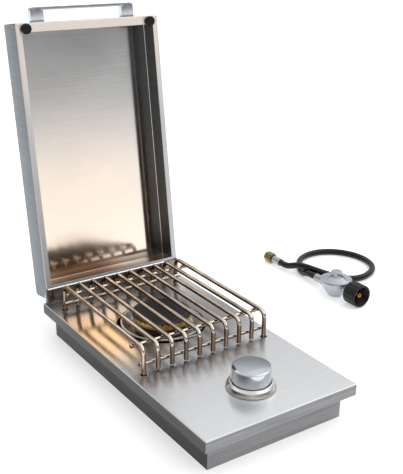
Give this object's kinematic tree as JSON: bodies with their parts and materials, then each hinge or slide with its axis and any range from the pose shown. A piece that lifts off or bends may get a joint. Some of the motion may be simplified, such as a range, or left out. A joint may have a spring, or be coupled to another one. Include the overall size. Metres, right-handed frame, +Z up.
{
  "type": "built-in gas side burner",
  "caption": "Drop-in steel gas side burner with a rod grate, a control knob and a hinged tray lid, and its hose with regulator lying beside it.",
  "frame": {"origin": "centre of the housing's flat bottom, which is the floor the part rests on", "axes": "+X to the right as a cook stands in front of it, +Y to the back where the lid is hinged, +Z up"},
  "size_m": [0.8157, 0.6785, 0.6205],
  "materials": {
    "brushed_stainless": "brushed",
    "polished_stainless": "polished",
    "heat_tinted_stainless": "satin with a golden heat tint",
    "zinc_plated_steel": "zinc plated",
    "cast_iron_dark": "cast, satin",
    "cast_aluminium": "die cast, matt",
    "yellow_brass": "machined",
    "black_rubber": "matt",
    "black_plastic": "moulded, satin",
    "white_ceramic": "glazed"
  },
  "bodies": {
    "burner_unit": {"deck_plate": "brushed_stainless", "housing_box": "brushed_stainless", "hinge_bracket": "brushed_stainless", "knob_bezel": "polished_stainless", "drip_pan": "polished_stainless", "electrode_tip": "polished_stainless", "burner_bowl": "cast_iron_dark", "burner_head": "yellow_brass", "burner_cradle": "zinc_plated_steel", "burner_screw": "zinc_plated_steel", "electrode_insulator": "white_ceramic", "valve_body": "yellow_brass", "valve_cap": "zinc_plated_steel", "valve_screw_left": "zinc_plated_steel", "valve_screw_right": "zinc_plated_steel", "gas_orifice": "yellow_brass", "mixing_tube": "zinc_plated_steel", "igniter_module": "black_plastic", "ignition_wire": "black_rubber", "feed_pipe": "yellow_brass", "pipe_nut": "yellow_brass", "inlet_fitting": "yellow_brass", "inlet_locknut": "yellow_brass", "hinge_rivet_left": "zinc_plated_steel", "hinge_rivet_right": "zinc_plated_steel", "regulator_body": "cast_aluminium", "regulator_bonnet": "cast_aluminium", "tank_nipple": "yellow_brass", "gas_hose": "black_rubber", "hose_sleeve_regulator_end": "zinc_plated_steel", "hose_sleeve_burner_end": "zinc_plated_steel", "flare_tail": "yellow_brass"},
    "lid": {"lid_shell": "brushed_stainless", "lid_handle": "polished_stainless", "handle_screw_left": "zinc_plated_steel", "handle_screw_right": "zinc_plated_steel", "lid_bumper_left": "black_rubber", "lid_bumper_right": "black_rubber"},
    "valve_rotor": {"valve_plug": "yellow_brass", "return_spring": "polished_stainless"},
    "knob": {"control_knob": "polished_stainless", "valve_stem": "zinc_plated_steel"},
    "grate": {"grate_rod_01": "heat_tinted_stainless", "grate_rod_02": "heat_tinted_stainless", "grate_rod_03": "heat_tinted_stainless", "grate_rod_04": "heat_tinted_stainless", "grate_rod_05": "heat_tinted_stainless", "grate_rod_06": "heat_tinted_stainless", "grate_rod_07": "heat_tinted_stainless", "grate_rod_08": "heat_tinted_stainless", "grate_rod_09": "heat_tinted_stainless", "grate_rod_10": "heat_tinted_stainless", "grate_cross_rod_upper_front": "heat_tinted_stainless", "grate_cross_rod_upper_back": "heat_tinted_stainless", "grate_cross_rod_lower_front": "heat_tinted_stainless", "grate_cross_rod_lower_back": "heat_tinted_stainless"},
    "cap": {"burner_cap": "cast_iron_dark"},
    "shutter": {"air_shutter": "zinc_plated_steel"},
    "tank_nut": {"tank_nut": "black_plastic"},
    "flare_nut": {"flare_nut": "yellow_brass"}
  },
  "joints": [
    {"name": "lid_hinge", "type": "hinge", "parent": "burner_unit", "child": "lid", "pos_m": [0, 0.2695, 0.0848], "axis": [1, 0, 0], "range_deg": [0, 99.3]},
    {"name": "knob_turn", "type": "hinge", "parent": "burner_unit", "child": "valve_rotor", "pos_m": [0, -0.19, 0.05], "axis": [0, 0, 1], "range_deg": [-71, 124]},
    {"name": "knob_push", "type": "slide", "parent": "valve_rotor", "child": "knob", "axis": [0, 0, -1], "range_m": [0, 0.003], "stiffness_N_per_m": 1500, "springref_m": -0.002, "deforming": ["return_spring"]},
    {"name": "grate_lift", "type": "slide", "parent": "burner_unit", "child": "grate", "axis": [0, 0, 1], "range_m": [0, 0.08]},
    {"name": "cap_lift", "type": "slide", "parent": "burner_unit", "child": "cap", "axis": [0, 0, 1], "range_m": [0, 0.008]},
    {"name": "air_shutter_turn", "type": "hinge", "parent": "burner_unit", "child": "shutter", "pos_m": [0, -0.1375, 0.038], "axis": [0, 1, 0], "range_deg": [0, 60]},
    {"name": "tank_nut_spin", "type": "hinge", "parent": "burner_unit", "child": "tank_nut", "pos_m": [0.468, 0.05, 0.026], "axis": [0, 1, 0], "continuous": true},
    {"name": "flare_nut_spin", "type": "hinge", "parent": "burner_unit", "child": "flare_nut", "pos_m": [0.462, 0.33, 0.013], "axis": [0, 1, 0], "continuous": true}
  ]
}
